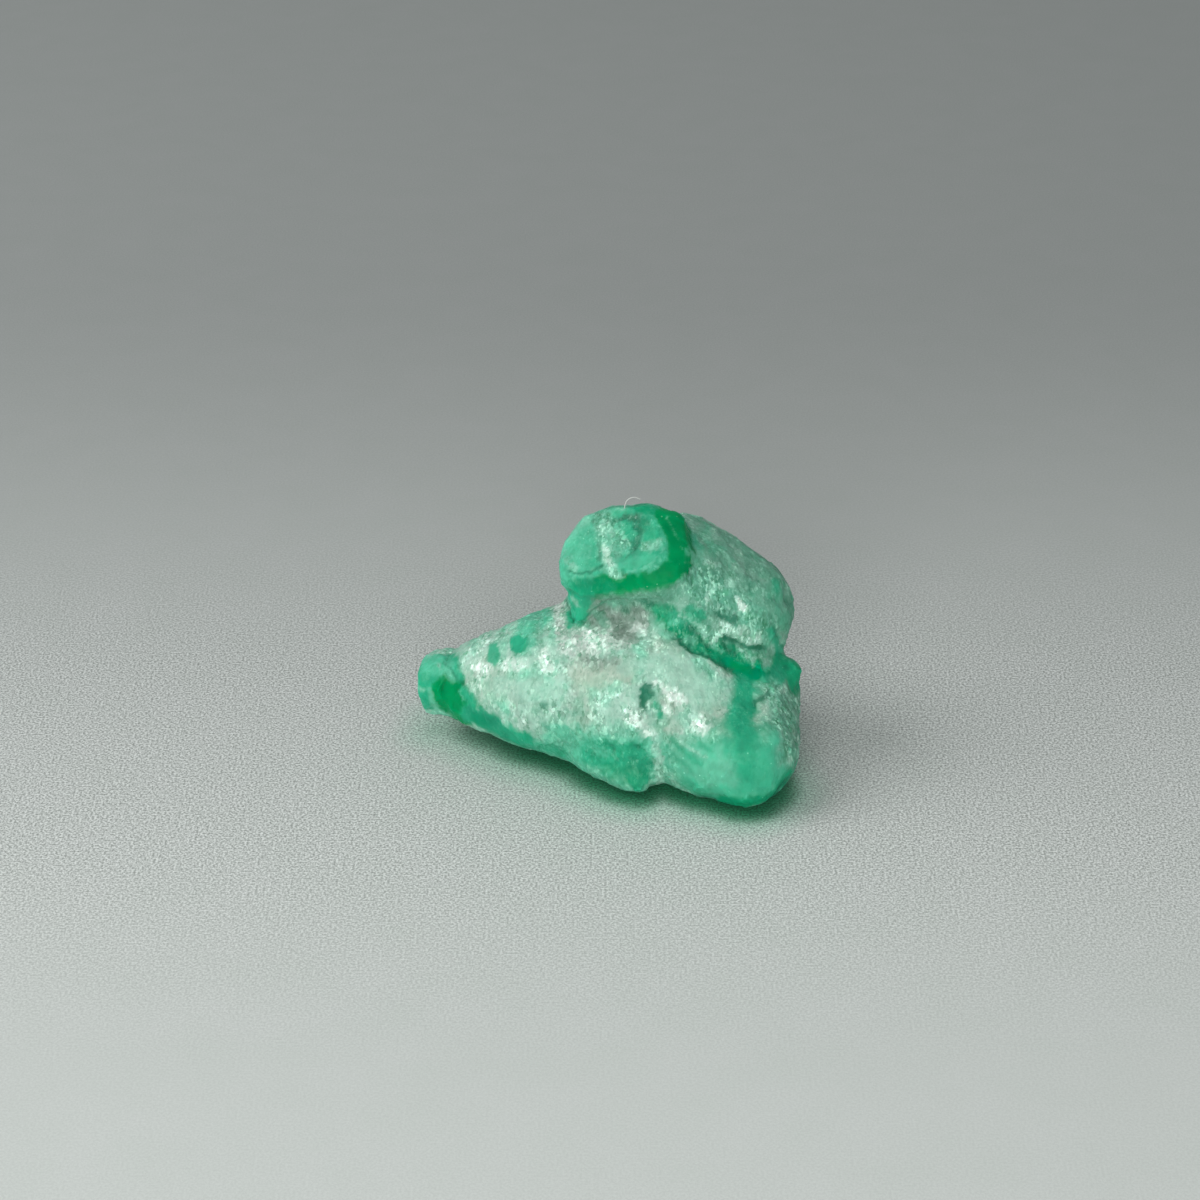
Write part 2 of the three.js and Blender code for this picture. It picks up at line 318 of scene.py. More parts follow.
    "shelf line": ([(0.795, 0.5), (0.837, 0.485), (0.863, 0.471), (0.897, 0.476)], 0.07, 0.06,
                   "shade", 0.5, 0.1, 0.95),
    "back notch": ([(0.778, 0.562), (0.812, 0.545)], 0.1, 0.07, "dark leaf", 0.3, 0.2, 0.9),
    "back streak": ([(0.795, 0.59), (0.815, 0.57), (0.85, 0.552)], 0.02, 0.05, "pale", 0.3, 0.3, 0.8),
    "back corner": ([(0.915, 0.515), (0.94, 0.47)], 0.17, 0.15, "leaf", 0.5, 0.1, 0.9),
    "right crack": ([(0.922, 0.526), (0.937, 0.498), (0.953, 0.469)], 0.03, 0.05, "shade", 0.4, 0.0, 0.7),
    "back right": ([(0.93, 0.62), (0.955, 0.55)], 0.3, 0.35, "leaf", 0.4, 0.1, 0.4),
    "right leaf": ([(0.925, 0.65), (0.93, 0.631)], 0.12, 0.12, "leaf", 0.4, 0.2, 0.7),
    # The top crystal: its left side, the worn disc and the clear rim round it.
    "top left": ([(0.39, 0.7), (0.41, 0.77), (0.45, 0.82)], 0.55, 0.25, "mint", 0.7, 0.15, 0.75),
    "left sparks": ([(0.398, 0.715), (0.412, 0.69)], 0.09, 0.12, "pale", 0.3, 1.0, 0.5),
    # Painted glow: a lighter line along the top crystal's thin left edge, standing for light passing through
    # it.
    "left edge glow": ([(0.383, 0.72), (0.384, 0.78), (0.405, 0.83)], 0.07, 0.1, "light mint", 0.5, 0.2, 0.8),
    "disc": ([(0.53, 0.8), (0.565, 0.74)], 0.72, 0.2, "leaf", 0.45, 0.2, 0.95),
    "disc pale": ([(0.49, 0.821), (0.512, 0.785), (0.522, 0.755)], 0.32, 0.25, "light moss", 0.2, 1.0, 0.9),
    "disc flecks": ([(0.495, 0.815), (0.505, 0.79)], 0.1, 0.2, "pale", 0.1, 1.0, 0.6),
    "disc dark": ([(0.51, 0.815), (0.54, 0.832), (0.57, 0.825)], 0.08, 0.1, "shade", 0.4, 0.5, 0.85),
    "disc dark too": ([(0.565, 0.8), (0.6, 0.815)], 0.07, 0.1, "dark leaf", 0.4, 0.7, 0.7),
    "disc green": ([(0.595, 0.8), (0.612, 0.775)], 0.2, 0.15, "glade", 0.6, 0.0, 0.5),
    "disc back": ([(0.575, 0.858), (0.64, 0.84)], 0.13, 0.1, "glade", 0.8, 0.1, 0.9),
    "disc comma": ([(0.582, 0.795), (0.574, 0.77), (0.562, 0.745)], 0.08, 0.1, "shade", 0.4, 0.3, 0.75),
    "disc step": ([(0.562, 0.742), (0.558, 0.728), (0.54, 0.715), (0.512, 0.712)], 0.03, 0.05,
                  "shade", 0.4, 0.2, 0.8),
    "disc pebble": ([(0.537, 0.74), (0.55, 0.735)], 0.11, 0.07, "mint", 0.5, 0.2, 0.6),
    "disc crescent": ([(0.515, 0.703), (0.565, 0.701), (0.605, 0.718)], 0.15, 0.06, "bright", 0.6, 0.0, 0.9),
    "disc light": ([(0.592, 0.747), (0.626, 0.755)], 0.15, 0.12, "pale", 0.3, 1.0, 0.6),
    "rim": ([(0.645, 0.835), (0.675, 0.78), (0.672, 0.7), (0.635, 0.655), (0.55, 0.637),
             (0.49, 0.637)], 0.34, 0.1, "deep", 1.0, 0.0, 1.0),
    "rim left": ([(0.5, 0.637), (0.42, 0.64)], 0.22, 0.15, "glade", 0.8, 0.1, 0.7),
    "disc edge": ([(0.634, 0.765), (0.631, 0.734), (0.613, 0.708), (0.593, 0.69), (0.545, 0.68)],
                  0.02, 0.05, "light mint", 0.5, 0.0, 0.9),
    # Painted glow: a lighter line along the crystal's thin right rim, standing for light passing through it.
    "rim glow line": ([(0.646, 0.823), (0.665, 0.785), (0.686, 0.742)], 0.02, 0.06, "mint", 0.5, 0.6, 0.5),
    "vein": ([(0.482, 0.8), (0.492, 0.745), (0.503, 0.695)], 0.2, 0.3, "pale", 0.0, 1.0, 0.3),
    "vein foot": ([(0.502, 0.69), (0.51, 0.675), (0.53, 0.668)], 0.11, 0.14, "pale", 0.2, 1.0, 0.7),
    "vein heart": ([(0.49, 0.742), (0.499, 0.7)], 0.09, 0.15, "spark", 0.0, 1.0, 0.5),
    "vein dark": ([(0.474, 0.76), (0.478, 0.71)], 0.05, 0.05, "shade", 0.5, 0.0, 0.7),
    "crack": ([(0.4, 0.68), (0.452, 0.677), (0.483, 0.696)], 0.03, 0.04, "shade", 0.7, 0.0, 0.7),
    # The dusty hollow under the top crystal, and the skirt and crease to its left.
    "under rim": ([(0.49, 0.598), (0.6, 0.612), (0.66, 0.62)], 0.2, 0.25, "moss", 0.2, 0.5, 0.9),
    "hollow dust": ([(0.46, 0.56), (0.5, 0.53), (0.57, 0.55)], 0.46, 0.4, "dust", 0.0, 0.6, 0.9),
    "dust dark": ([(0.51, 0.53), (0.545, 0.49)], 0.28, 0.3, "dust", 0.0, 0.5, 0.9),
    "moss smear": ([(0.46, 0.575), (0.49, 0.54)], 0.14, 0.15, "moss", 0.1, 0.3, 0.8),
    "dust pale": ([(0.42, 0.5), (0.457, 0.48), (0.49, 0.5)], 0.3, 0.3, "ash", 0.0, 1.0, 0.95),
    "olive": ([(0.44, 0.443), (0.47, 0.43), (0.51, 0.44)], 0.16, 0.25, "dust", 0.0, 0.7, 0.75),
    "ridge white": ([(0.368, 0.58), (0.376, 0.52), (0.391, 0.466)], 0.18, 0.2, "ash", 0.0, 1.0, 0.9),
    "dust sparks": ([(0.5, 0.537), (0.508, 0.521)], 0.05, 0.06, "spark", 0.0, 1.0, 0.7),
    "dust sparks too": ([(0.569, 0.526), (0.587, 0.518)], 0.1, 0.12, "spark", 0.0, 1.0, 0.6),
    "dust low": ([(0.5, 0.475), (0.56, 0.485)], 0.12, 0.2, "ash", 0.0, 1.0, 0.7),
    "dust heart": ([(0.452, 0.5), (0.468, 0.488)], 0.17, 0.15, "spark", 0.0, 1.0, 0.8),
    "dark spot": ([(0.586, 0.598), (0.604, 0.592)], 0.09, 0.08, "shade", 0.3, 0.2, 0.85),
    "dark spot too": ([(0.534, 0.576), (0.549, 0.57)], 0.06, 0.08, "shade", 0.3, 0.2, 0.7),
    "skirt": ([(0.425, 0.6), (0.43, 0.585), (0.428, 0.565)], 0.31, 0.1, "leaf", 0.6, 0.1, 0.9),
    "skirt light": ([(0.409, 0.612), (0.424, 0.592)], 0.06, 0.08, "pale", 0.3, 0.4, 0.6),
    "skirt edge": ([(0.39, 0.622), (0.396, 0.585), (0.411, 0.545)], 0.03, 0.04, "shade", 0.5, 0.0, 1.0),
    # The crease is laid in grey moss as painted shade along its dent.
    "crease shade": ([(0.322, 0.56), (0.316, 0.52), (0.333, 0.475)], 0.05, 0.1, "moss", 0.1, 0.5, 0.6),
}

# Steps and cracks that follow the mark of the same name: half width and height in mm.
MARK_STEPS = {
    "crack": (0.06, -0.06),
    "tip crack": (0.08, -0.02),
    "disc edge": (0.07, 0.03),
    "vein": (0.2, 0.03),
    "disc dark": (0.09, -0.06),
    "disc dark too": (0.09, -0.05),
    "disc comma": (0.1, -0.05),
    "disc pebble": (0.1, 0.03),
    "skirt": (0.26, 0.12),
    "skirt edge": (0.07, -0.12),
    "shelf line": (0.1, -0.1),
    "back shelf": (0.2, 0.05),
    "right crack": (0.08, -0.06),
    "upper streak": (0.06, 0.03),
    "crumb dark": (0.1, -0.08),
    "dark spot": (0.12, -0.08),
    "toe crack": (0.08, -0.05),
    "belly veil": (0.1, -0.04),
    "gallery cuts": (0.1, -0.08),
    "gallery gaps": (0.1, -0.08),
    "gallery gaps too": (0.1, -0.08),
    "gallery lumps": (0.16, 0.05),
    "disc step": (0.07, -0.05),
    "belly fold": (0.12, -0.05),
    "back streak": (0.06, 0.03),
    "gallery streak": (0.06, 0.04),
    "blotch": (0.16, -0.08),
    "right blotch": (0.15, -0.08),
    "gallery lip": (0.12, -0.12),
    "back notch": (0.15, -0.12),
    "crease shade": (0.14, -0.15),
}

# Steps and cracks with no mark: their way, as for a mark, then half width and height in mm.
OTHER_STEPS = {
    "skirt side": ([(0.426, 0.53), (0.45, 0.56), (0.49, 0.585)], 0.08, -0.08),
    "toe edge": ([(0.602, 0.22), (0.607, 0.16), (0.61, 0.08)], 0.09, -0.1),
    "side notch": ([(0.925, 0.603), (0.985, 0.598)], 0.14, -0.12),
    "toe notch": ([(0.645, 0.105), (0.655, 0.065)], 0.15, -0.08),
}

# Swellings of the skin, or dents where the height is negative: place in parts of the stone's box,
# radius and height in mm.
SWELLINGS = {
    "tip shoulder": ((0.14, 0.68, 0.4), 1.1, 0.22),
    "tip brow": ((0.02, 0.72, 0.36), 0.8, -0.12),
    "tip end": ((0.00, 0.6, 0.22), 0.8, 0.06),
    "tip belly": ((0.14, 0.46, 0.12), 0.9, 0.08),
    "toe point": ((0.585, 0.12, 0.05), 0.6, 0.25),
    "toe gap": ((0.645, 0.13, 0.04), 0.5, -0.42),
    "toe of lobe": ((0.84, 0.03, 0.05), 1.1, 0.18),
    "lobe corner": ((0.95, 0.1, 0.1), 0.7, -0.14),
    "upper scallop": ((0.94, 0.58, 0.72), 0.7, 0.1),
    "lower scallop": ((0.96, 0.53, 0.56), 0.5, 0.18),
    "scallop gap": ((0.962, 0.58, 0.635), 0.4, -0.22),
    "disc back": ((0.6, 0.62, 0.975), 0.5, 0.06),
}

# The crystals whose worn edges stay crisp: from, to, radius in mm.
CRISP = {
    "top crystal": ((0.5, 0.48, 0.86), (0.6, 0.6, 0.74), 1.9),
    "skirt": ((0.41, 0.5, 0.62), (0.44, 0.5, 0.76), 0.7),
    "back crystal": ((0.47, 0.97, 0.42), (0.52, 0.85, 0.38), 1.2),
}

# How the skin is worked, in mm where it is a length.
SMOOTH_PASSES = 60
CRISP_KEEPS = 0.93  # the part of the smoothing that a crisp edge escapes
CRISP_SOFT = 0.4
BROAD_LUMPS = (0.10, 1.5)  # height and size
SMALL_LUMPS = (0.035, 0.45)
STEP_SPREAD = 1.6  # how far a step's sides run out, in half widths
GRAIN_SQUAT = np.array([1.0, 1.0, 0.65])  # grains stand taller than they are wide
FACET_TILT, FACET_PRESS = 0.08, 0.5
CRUMB_TILT, CRUMB_PRESS = 0.10, 0.5
GRAIN_TILT, GRAIN_PRESS = 0.24, 0.85
SHARP_ANGLE = math.radians(38)  # edges sharper than this are shaded sharp

TILT = math.radians(30)  # the marks are drawn from this far above the level
FACING = np.array([0.0, -math.cos(TILT), math.sin(TILT)])
UPWARD = np.array([0.0, math.sin(TILT), math.cos(TILT)])


def way_distance(points, way):
    """Distance of each point from a line of straight runs, in its own units."""
    way = [np.array(place, float) for place in way]
    nearest = np.linalg.norm(points - way[0], axis=1)
    for a, b in zip(way, way[1:]):
        along = np.clip((points - a) @ (b - a) / max((b - a) @ (b - a), 1e-9), 0, 1)
        nearest = np.minimum(nearest, np.linalg.norm(points - a - along[:, None] * (b - a), axis=1))
    return nearest


def rod_distance(points, start, end):
    """Distance in mm of each point from the line between two places."""
    a, b = (np.array(spot(*place)) / MM for place in (start, end))
    return way_distance(points, [a, b])


def sketch(points):
    """Where points lie as seen from in front and above, in mm across and up."""
    return np.stack([points[:, 0], points @ UPWARD], 1)


def facing_front(normals):
    """1 where the skin faces the front, falling to 0 where it turns away."""
    return ease(normals @ FACING / 0.25 + 0.3)


def on_sketch(way):
    """A way given in parts across and up the sketch, in mm."""
    low, high = np.array(LOW) / MM, np.array(HIGH) / MM
    bottom, top = low @ UPWARD, high @ UPWARD
    return [(low[0] + u * (high[0] - low[0]), bottom + v * (top - bottom)) for u, v in way]


def swell(points):
    """How far the swellings push each point out."""
    push = np.zeros(len(points))
    for place, radius, height in SWELLINGS.values():
        push += height * ease(1 - rod_distance(points, place, place) / radius)
    return push


def crispness(points):
    crisp = np.zeros(len(points))
    for start, end, radius in CRISP.values():
        crisp = np.maximum(crisp, ease((radius - rod_distance(points, start, end)) / CRISP_SOFT + 0.5))
    return crisp


def palette():
    look = settings()
    colours = {name: np.array(getattr(look, name)) for name in (
        "spark", "sugar", "cream", "dust", "mint", "moss", "leaf", "glade", "deep", "shade")}
    colours["ash"] = 0.45 * colours["spark"] + 0.55 * colours["dust"]
    # veil and moonlit are lighter copies of sugar, partly painted light where the lamps leave the stone
    # darker.
    colours["veil"] = 1.15 * colours["sugar"]
    colours["moonlit"] = 1.02 * colours["sugar"]
    colours["pale"] = 0.65 * colours["sugar"] + 0.35 * colours["mint"] + 0.05
    colours["dark leaf"] = 0.55 * colours["leaf"]
    colours["bright"] = 0.65 * colours["mint"] + 0.35 * colours["leaf"]
    colours["light leaf"] = 0.35 * colours["mint"] + 0.65 * colours["leaf"]
    colours["light mint"] = 0.8 * colours["mint"] + 0.2 * colours["sugar"]
    colours["light moss"] = 0.6 * colours["moss"] + 0.4 * colours["mint"]
    return colours


def paint(points, normals):
    """The colour of each point, how clear and how sugary it is."""
    colours = palette()
    broad, patchy, fine = clouds(points, 1.9, 5), clouds(points, 0.75, 3, 4), clouds(points, 0.28, 7)
    tint = np.tile(colours["sugar"], (len(points), 1))
    clear = np.full(len(points), 0.10)

    def lay(amount, colour, own_clear, own_sugary):
        nonlocal tint, clear, sugary
        tint = tint + (colours[colour] - tint) * amount[:, None]
        clear = clear + (own_clear - clear) * amount
        sugary = sugary + (own_sugary - sugary) * amount

    sugary = 0.30 + 0.65 * ease(0.5 + clouds(points, 0.8, 17) / 0.5)
    lay(0.50 * ease(patchy / 0.5 + 0.1), "mint", 0.2, 0.6)
    lay(0.6 * ease(broad / 0.5 - 0.2), "cream", 0.1, 0.5)
    height = (points[:, 2] - LOW.z / MM) / ((HIGH.z - LOW.z) / MM)
    lay(0.8 * ease((0.20 + 0.08 * patchy - height) / 0.16), "mint", 0.3, 0.5)
    for start, end, radius, soft, colour, own_clear, own_sugary in MASSES.values():
        away = rod_distance(points, start, end) + 0.30 * patchy + 0.08 * fine
        lay(ease((radius - away) / soft + 0.5), colour, own_clear, own_sugary)
    lay(0.25 * ease(clouds(points, 0.55, 11) / 0.3 - 0.4) * sugary, "spark", 0.0, 1.0)
    lay(0.30 * ease(clouds(points, 0.45, 12) / 0.3 - 0.4), "leaf", 0.3, 0.5)
    seen = facing_front(normals)
    drawn = sketch(points) + 0.06 * np.stack([fine, clouds(points, 0.3, 9)], 1)
    crumbs = clouds(points, 0.13, 8, 2)
    for way, width, soft, colour, own_clear, own_sugary, strength in MARKS.values():
        away = way_distance(drawn, on_sketch(way)) + width * (0.35 * patchy + 0.25 * fine)
        away += (0.03 + 0.06 * own_sugary) * crumbs
        lay(strength * seen * ease((width - away) / soft + 0.5), colour, own_clear, own_sugary)
    return tint * (1 + 0.14 * patchy + 0.12 * fine)[:, None], clear, sugary


def relief(points, normals):
    """How far each point is pushed in or out by the steps and cracks of the front."""
    push = np.zeros(len(points))
    seen = facing_front(normals)
    drawn = sketch(points) + 0.04 * np.stack([clouds(points, 0.3, 14), clouds(points, 0.3, 15)], 1)
    steps = [(MARKS[name][0], width, height) for name, (width, height) in MARK_STEPS.items()]
    for way, width, height in steps + list(OTHER_STEPS.values()):
        push += height * seen * ease(1 - way_distance(drawn, on_sketch(way)) / (STEP_SPREAD * width))
    return push


# ------------------------------------------------------------------ sculpting


def split_cells(points, width, seed):
    """Splits the skin into grains about as wide as width and a little taller: the grain that each
    point is in, and the point at the middle of each grain."""
    draw = np.random.default_rng(seed)
    area = len(points) * (settings().mesh_step / MM) ** 2
    middles = draw.choice(len(points), int(area / width**2), replace=False)
    squat = points * GRAIN_SQUAT
    tree = KDTree(len(middles))
    for cell, index in enumerate(middles):
        tree.insert(squat[index], cell)
    tree.balance()
    return np.array([tree.find(p)[1] for p in squat]), middles


def flatten_cells(points, normals, cells, tilt, strength, seed):
    """Presses each grain to its own tilted plane."""
    draw = np.random.default_rng(seed)
    most = cells.max() + 1
    count = np.bincount(cells, minlength=most).clip(1)[:, None]
    centre = np.stack([np.bincount(cells, points[:, i], most) for i in range(3)], 1) / count
    facing = np.stack([np.bincount(cells, normals[:, i], most) for i in range(3)], 1)
    facing += count * tilt * draw.normal(size=facing.shape)
    facing /= np.linalg.norm(facing, axis=1, keepdims=True)
    off = np.einsum("ij,ij->i", points - centre[cells], facing[cells])
    return points - facing[cells] * (off * strength)[:, None]


def grain_colours(points, normals, cells, middles):
    """Colours laid grain by grain where the stone is sugary, and smoothly where it is clear."""
    look = palette()
    draw = np.random.default_rng(31)
    tint, clear, sugary = paint(points[middles], normals[middles])
    shades = draw.normal(size=len(middles))
    chance = draw.random(len(middles))
    cluster = ease(0.5 + clouds(points[middles], 0.6, 33) / 0.5)
    tint = tint * np.exp(0.12 * shades * sugary)[:, None]
    # Some grains are lightened, partly white sugar and partly painted glints; others are darkened towards
    # green, partly darker stone and partly painted shade in the gaps between grains.
    sparks = (chance < 0.20 * cluster) * sugary * 0.5
    tint += (np.minimum(1.35 * tint + 0.20, look["spark"]) - tint).clip(0) * sparks[:, None]
    gaps = (chance > 1 - 0.14 * (1.3 - cluster)) * (0.25 + 0.75 * sugary) * 0.4
    tint += (0.6 * tint * look["leaf"] / look["leaf"].max() - tint) * gaps[:, None]
    even, clear, sugary = paint(points, normals)
    share = (0.15 + 0.75 * sugary)[:, None]
    return even + (tint[cells] - even) * share, clear, sugary


def settings():
    return bpy.context.scene.raw_emerald


def group_from(piece, name, weights):
    group = piece.vertex_groups.new(name=name)
    steps = np.round(np.clip(weights, 0, 1) * 20).astype(int)
    for step in range(1, 21):
        members = np.nonzero(steps == step)[0]
        if len(members):
            group.add(members.tolist(), step / 20, "ADD")
    return group.name


def apply_scale(piece, factor):
    piece.scale = (factor,) * 3
    make_active(piece)
    bpy.ops.object.transform_apply(location=False, rotation=False, scale=True)


class EMERALD_OT_stone(bpy.types.Operator):
    """Sculpt the stone from its solid"""

    bl_idname = "emerald.stone"
    bl_label = "Stone"

    def execute(self, context):
        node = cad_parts[NODE]
        stone = bpy.data.objects.new("emerald", node.data.copy())
        context.scene.collection.objects.link(stone)
        stone.data.materials.clear()
        make_active(stone)
        bpy.ops.object.mode_set(mode="EDIT")
        bpy.ops.mesh.select_all(action="SELECT")
        bpy.ops.mesh.remove_doubles(threshold=1e-6)
        bpy.ops.object.mode_set(mode="OBJECT")
        apply_scale(stone, 1 / MM)

        finish_with(stone, "REMESH", mode="VOXEL", voxel_size=settings().mesh_step / MM)
        crisp = crispness(points_of(stone))
        soft = group_from(stone, "soft", 1 - CRISP_KEEPS * crisp)
        finish_with(stone, "SMOOTH", factor=0.5, iterations=SMOOTH_PASSES, vertex_group=soft)

        smooth = points_of(stone)
        normals = normals_of(stone)
        facets = split_cells(smooth, settings().facet / MM, 21)[0]
        crumbs = split_cells(smooth, settings().crumb / MM, 22)[0]
        grains, middles = split_cells(smooth, settings().grain / MM, 23)
        tint, clear, sugary = grain_colours(smooth, normals, grains, middles)

        lumps = sum(
            high * clouds(smooth, size, seed)
            for seed, (high, size) in enumerate((BROAD_LUMPS, SMALL_LUMPS), start=1))
        lumps = lumps * (1 - 0.8 * crisp) + relief(smooth, normals) + swell(smooth)
        points = smooth + normals * lumps[:, None]
        worn = FACET_PRESS * (1 - 0.5 * crisp)
        rough = 0.15 + 0.85 * sugary
        points = flatten_cells(points, normals, facets, FACET_TILT, worn, 24)
        points = flatten_cells(points, normals, crumbs, CRUMB_TILT, CRUMB_PRESS * rough, 25)
        points = flatten_cells(points, normals, grains, GRAIN_TILT, GRAIN_PRESS * rough, 26)
        points[:, 2] = np.maximum(points[:, 2], 0)
        move_points(stone, points)

        keep_colour(stone, "tint", tint)
        keep_mask(stone, "clear", clear)
        keep_mask(stone, "sugary", sugary)

        apply_scale(stone, MM)
        bpy.ops.object.shade_smooth_by_angle(angle=SHARP_ANGLE)
        stone.data.materials.append(emerald_material())
        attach(stone, BODY)
        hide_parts(NODE)
        return {"FINISHED"}


# ------------------------------------------------------------------ the lint


LINT_ROOT = (0.540, 0.60, 0.975)  # in parts of the stone's box

# The fibre's way from its root, in rises: across, deep and up.
LINT_WAY = [(0, 0, -0.15), (0, 0, 0.25), (0.18, 0.1, 0.75), (0.7, 0.1, 1.0), (1.1, 0.1, 0.85)]


class EMERALD_OT_lint(bpy.types.Operator):
    """Lay the lint fibre that is caught on the top crystal"""

    bl_idname = "emerald.lint"
    bl_label = "Lint"

    def execute(self, context):
        look = context.scene.raw_emerald_lint
        deselect_all()
        root = spot(*LINT_ROOT)
        bpy.ops.curve.primitive_bezier_curve_add(location=(0, 0, 0))
        lint = context.active_object
        lint.name = "lint"
        spline = lint.data.splines[0]
        spline.bezier_points.add(len(LINT_WAY) - len(spline.bezier_points))
        for point, step in zip(spline.bezier_points, LINT_WAY):
            point.co = root + look.rise * Vector(step)
            point.handle_left_type = point.handle_right_type = "AUTO"
        lint.data.bevel_depth = look.width / 2
        lint.data.bevel_resolution = 2
        lint.data.use_fill_caps = True
        bpy.ops.object.convert(target="MESH")
        bpy.ops.object.shade_smooth()
        lint.data.materials.append(lint_material())
        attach(lint, BODY)
        return {"FINISHED"}


# ------------------------------------------------------------------ materials


class Wire:
    """One socket of a material, with the sums a maker would write."""

    def __init__(self, recipe, socket):
        self.recipe, self.socket = recipe, socket

    def sum(self, operation, *values, clamp=False):
        return self.recipe.node(
            "ShaderNodeMath", {"operation": operation, "use_clamp": clamp}, dict(enumerate(values)))

    def __add__(self, other):
        return self.sum("ADD", self, other)

    __radd__ = __add__

    def __sub__(self, other):
        return self.sum("SUBTRACT", self, other)

    def __rsub__(self, other):
        return self.sum("SUBTRACT", other, self)

    def __mul__(self, other):
        return self.sum("MULTIPLY", self, other)

    def __pow__(self, other):
        return self.sum("POWER", self, other)

    def held(self):
        return self.sum("ADD", self, 0.0, clamp=True)


class Recipe:
    """The node tree of one material."""

    def __init__(self, name):
        self.material = bpy.data.materials.new(name)
        self.material.use_nodes = True
        self.tree = self.material.node_tree
        self.tree.nodes.clear()

    def node(self, kind, settings=None, sockets=None, take=0):
        made = self.tree.nodes.new(kind)
        for name, value in (settings or {}).items():
            setattr(made, name, value)
        for key, value in (sockets or {}).items():
            if isinstance(value, Wire):
                self.tree.links.new(value.socket, made.inputs[key])
            else:
                made.inputs[key].default_value = value
        return Wire(self, made.outputs[take]) if made.outputs else None

    def mask(self, name):
        return self.node("ShaderNodeAttribute", {"attribute_name": name}, take="Fac")

    def blend(self, amount, first, second, how="MIX"):
        a, b = ((*c, 1.0) if isinstance(c, tuple) else c for c in (first, second))
        return self.node(
            "ShaderNodeMix", {"data_type": "RGBA", "blend_type": how, "clamp_factor": True},
            {0: amount, 6: a, 7: b}, take=2)

    def between(self, value, low, high):
        """Rises smoothly from 0 at low to 1 at high."""
        return self.node(
            "ShaderNodeMapRange", {"interpolation_type": "SMOOTHSTEP"},
            {"Value": value, "From Min": low, "From Max": high})

    def vector(self, operation, first, second, take=0):
        return self.node("ShaderNodeVectorMath", {"operation": operation}, {0: first, 1: second}, take)

    def scaled(self, vector, factor):
        return self.node("ShaderNodeVectorMath", {"operation": "SCALE"}, {0: vector, "Scale": factor})

    def noise(self, place, per_mm, detail=3.0, rough=0.55, take=0):
        """Noise from 0 to 1 with the given number of features to the millimetre."""
        return self.node(
            "ShaderNodeTexNoise", None,
            {"Vector": place, "Scale": per_mm / MM, "Detail": detail, "Roughness": rough}, take)

    def grains(self, place, per_mm):
        """Grains with the given number to the millimetre: two random numbers and a tilt in each."""
        made = self.tree.nodes.new("ShaderNodeTexVoronoi")
        made.inputs["Scale"].default_value = per_mm / MM
        self.tree.links.new(place.socket, made.inputs["Vector"])
        colour, centre = (Wire(self, made.outputs[name]) for name in ("Color", "Position"))
        split = self.tree.nodes.new("ShaderNodeSeparateColor")
        self.tree.links.new(colour.socket, split.inputs[0])
        lean = self.vector("SUBTRACT", colour, (0.5, 0.5, 0.5))
        away = self.vector("SUBTRACT", place, centre)
        slope = self.vector("DOT_PRODUCT", away, lean, "Value")
        return Wire(self, split.outputs[0]), Wire(self, split.outputs[1]), slope

    def finish(self, surface):
        self.node("ShaderNodeOutputMaterial", None, {"Surface": surface})
        return self.material


IOR = 1.58
COARSE_GRAINS, FINE_GRAINS = 9.0, 18.0  # to the millimetre
PAINTED_GLINTS_PER_MM = 3.6  # to the millimetre
GRAIN_BUMP = 0.45
RIPPLE_HIGH = 0.02 * MM


def grain_places(recipe, place):
    """Where the shader's grains lie: warped a little, and taller than they are wide."""
    jitter = recipe.vector("SUBTRACT", recipe.noise(place, 5.0, 2.0, take="Color"), (0.5, 0.5, 0.5))
    warped = recipe.vector("ADD", place, recipe.scaled(jitter, 0.10 * MM))
    return recipe.node(
        "ShaderNodeMapping", None,
        {"Vector": warped, "Rotation": (0.3, 0.5, 0.2), "Scale": (1.0, 1.0, 0.5)})


